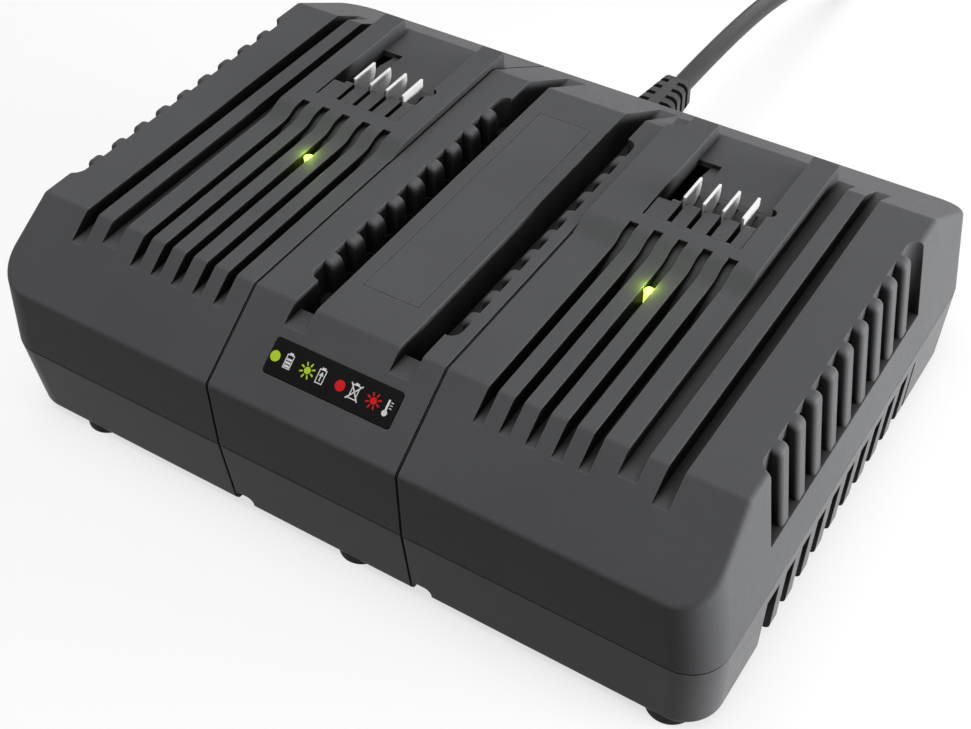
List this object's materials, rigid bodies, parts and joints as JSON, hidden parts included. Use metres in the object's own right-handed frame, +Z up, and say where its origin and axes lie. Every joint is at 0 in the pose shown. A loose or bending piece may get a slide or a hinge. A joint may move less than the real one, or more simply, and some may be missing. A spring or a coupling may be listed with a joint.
{
  "type": "dual-bay battery charger",
  "caption": "Desktop power-tool battery charger with side-by-side slide-in seats, louvred housing, status panel and coiled mains cord.",
  "frame": {"origin": "on the floor under the middle of the housing", "axes": "+X to the right seen from the front, +Y to the back where the cord leaves, +Z up"},
  "size_m": [0.2832, 0.5319, 0.0861],
  "materials": {
    "housing": "fine moulded texture",
    "housing_dark": "fine moulded texture",
    "panel": "smooth moulded",
    "status_film": "printed film",
    "clear_guide": "clear moulded",
    "lens": "clear tinted",
    "insert": "satin moulded",
    "contact": "tin plated",
    "rubber": "matte",
    "cord": "satin jacket",
    "steel": "zinc plated",
    "board": "solder mask",
    "ferrite": "sintered",
    "winding": "taped and varnished",
    "can": "sleeved",
    "film_can": "moulded",
    "aluminium": "extruded",
    "glass": "clear"
  },
  "bodies": {
    "root": {"base_tray": "housing_dark", "left_bay_cover": "housing", "centre_cover": "housing", "right_bay_cover": "housing", "spine_panel": "panel", "status_panel": "status_film", "status_light_guides": "clear_guide", "status_board": "board", "rubber_feet": "rubber", "case_screws": "steel", "left_terminal_insert": "insert", "right_terminal_insert": "insert", "left_terminal_blades": "contact", "right_terminal_blades": "contact", "left_light_pipe": "lens", "right_light_pipe": "lens", "left_bay_board": "board", "right_bay_board": "board", "bay_leds": "lens", "bay_board_screws": "steel", "main_board": "board", "main_board_screws": "steel", "transformer_core": "ferrite", "transformer_winding": "winding", "bulk_capacitors": "can", "left_heat_sink": "aluminium", "right_heat_sink": "aluminium", "power_devices": "insert", "filter_choke": "winding", "film_capacitor": "film_can", "mains_fuse": "glass", "mains_terminal": "insert", "mains_leads": "cord", "strain_relief": "cord", "mains_cord": "cord", "cord_coil": "cord", "plug_body": "cord", "plug_blades": "contact"}
  },
  "joints": []
}
